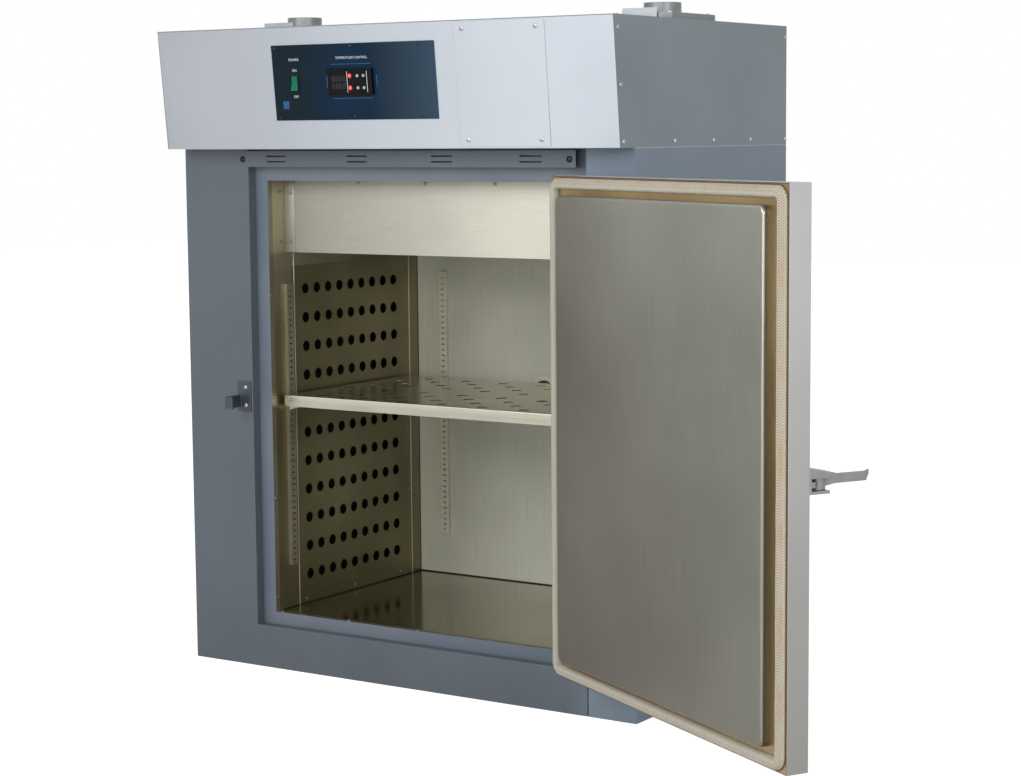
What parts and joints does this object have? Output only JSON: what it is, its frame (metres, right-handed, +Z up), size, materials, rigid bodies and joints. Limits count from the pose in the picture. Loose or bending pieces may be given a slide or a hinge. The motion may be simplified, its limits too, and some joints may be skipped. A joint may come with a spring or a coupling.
{
  "type": "drying oven",
  "caption": "Floor-standing laboratory drying oven with a painted cabinet, an overhanging control hood, a stainless chamber with perforated side ducts, one shelf and a plug door that stands open.",
  "frame": {"origin": "centre of the cabinet's footprint on the floor", "axes": "+Z up, +X towards the viewer's right when facing the door, -Y out of the front"},
  "size_m": [1.7469, 1.1409, 1.3915],
  "materials": {
    "cabinet_paint": "slate-blue baked enamel, semi-gloss",
    "front_paint": "light grey baked enamel, semi-gloss",
    "chamber_steel": "bright rolled stainless steel",
    "hidden_steel": "galvanised sheet, dull",
    "bright_steel": "polished steel",
    "galvanised": "galvanised sheet, mottled",
    "cast_aluminium": "cast aluminium, matt",
    "wool": "mineral wool, matt",
    "gasket": "braided glass-fibre gasket, matt",
    "silicone": "silicone rubber, matt",
    "panel_navy": "printed overlay, semi-gloss",
    "black_plastic": "moulded plastic, matt",
    "display_glass": "tinted window, gloss",
    "key_grey": "moulded plastic, matt",
    "rocker_green": "translucent plastic, gloss"
  },
  "bodies": {
    "cabinet": {"front_frame": "cabinet_paint", "side_panel_left": "cabinet_paint", "side_panel_right": "cabinet_paint", "header_strip": "cabinet_paint", "door_frame": "cabinet_paint", "hood_end_left": "cabinet_paint", "hood_end_right": "cabinet_paint", "hood_cover": "cabinet_paint", "hood_front": "front_paint", "access_cover": "front_paint", "liner_floor": "chamber_steel", "liner_ceiling": "chamber_steel", "liner_sides": "chamber_steel", "liner_back": "chamber_steel", "duct_frames": "chamber_steel", "duct_panel_left": "chamber_steel", "duct_panel_right": "chamber_steel", "plenum_cover": "chamber_steel", "plenum_baffle": "chamber_steel", "shelf_strips_front": "chamber_steel", "shelf_strips_rear": "chamber_steel", "shelf_clips": "chamber_steel", "port_sleeve": "chamber_steel", "back_panel": "hidden_steel", "top_deck": "hidden_steel", "base_pan": "hidden_steel", "electrical_chassis": "hidden_steel", "front_bolts": "bright_steel", "hood_screws": "bright_steel", "latch_strike": "bright_steel", "hinge_cabinet_leaves": "bright_steel", "heater_elements": "bright_steel", "damper_housing_left": "cast_aluminium", "damper_housing_right": "cast_aluminium", "blower_motor": "cast_aluminium", "insulation": "wool", "control_panel": "panel_navy", "switch_body": "black_plastic", "controller_case": "black_plastic", "inlet_gland": "black_plastic", "controller_display": "display_glass"},
    "door": {"door_pan": "front_paint", "door_insulation": "wool", "door_inner_sheet": "chamber_steel", "door_plug": "chamber_steel", "door_gasket": "gasket", "hinge_door_leaves": "bright_steel", "latch_housing": "bright_steel"},
    "lever": {"latch_lever": "bright_steel"},
    "bolt": {"latch_bolt": "bright_steel"},
    "rocker": {"power_rocker": "rocker_green"},
    "key_1": {"controller_key_1": "key_grey"},
    "key_2": {"controller_key_2": "key_grey"},
    "key_3": {"controller_key_3": "key_grey"},
    "key_4": {"controller_key_4": "key_grey"},
    "damper_left": {"damper_slide_left": "galvanised"},
    "damper_right": {"damper_slide_right": "galvanised"},
    "shelf_tray": {"shelf": "chamber_steel"},
    "rotor": {"blower_wheel": "galvanised"},
    "port_stopper": {"port_plug": "silicone"}
  },
  "joints": [
    {"name": "door_hinge", "type": "hinge", "parent": "cabinet", "child": "door", "pos_m": [0.437, -0.355, 0.5805], "axis": [0, 0, 1], "range_deg": [-150, 20]},
    {"name": "lever_turn", "type": "hinge", "parent": "door", "child": "lever", "pos_m": [1.13649, -0.73345, 0.574], "axis": [0, 0, 1], "range_deg": [0, 90]},
    {"name": "bolt_slide", "type": "slide", "parent": "door", "child": "bolt", "axis": [0.866, -0.5, 0], "range_m": [0, 0.024]},
    {"name": "rocker_tilt", "type": "hinge", "parent": "cabinet", "child": "rocker", "pos_m": [-0.2, -0.38136, 1.24063], "axis": [1, 0, 0], "range_deg": [0, 16]},
    {"name": "damper_slide_left", "type": "slide", "parent": "cabinet", "child": "damper_left", "axis": [0, -1, 0], "range_m": [0, 0.06]},
    {"name": "damper_slide_right", "type": "slide", "parent": "cabinet", "child": "damper_right", "axis": [0, -1, 0], "range_m": [0, 0.06]},
    {"name": "shelf_slide", "type": "slide", "parent": "cabinet", "child": "shelf_tray", "axis": [0, -1, 0], "range_m": [0, 0.3]},
    {"name": "wheel_spin", "type": "hinge", "parent": "cabinet", "child": "rotor", "pos_m": [0.01825, 0.003, 0.94], "axis": [0, 0, 1], "continuous": true},
    {"name": "plug_pull", "type": "slide", "parent": "cabinet", "child": "port_stopper", "axis": [0, 1, 0], "range_m": [0, 0.04]},
    {"name": "key_1_press", "type": "slide", "parent": "cabinet", "child": "key_1", "axis": [0, 0.9949, 0.1011], "range_m": [0, 0.0012], "stiffness_N_per_m": 250, "springref_m": -0.0006},
    {"name": "key_2_press", "type": "slide", "parent": "cabinet", "child": "key_2", "axis": [0, 0.9949, 0.1011], "range_m": [0, 0.0012], "stiffness_N_per_m": 250, "springref_m": -0.0006},
    {"name": "key_3_press", "type": "slide", "parent": "cabinet", "child": "key_3", "axis": [0, 0.9949, 0.1011], "range_m": [0, 0.0012], "stiffness_N_per_m": 250, "springref_m": -0.0006},
    {"name": "key_4_press", "type": "slide", "parent": "cabinet", "child": "key_4", "axis": [0, 0.9949, 0.1011], "range_m": [0, 0.0012], "stiffness_N_per_m": 250, "springref_m": -0.0006}
  ],
  "couplings": [
    {"joint": "bolt_slide", "follows": "lever_turn", "m_per_rad": 0.015279}
  ]
}
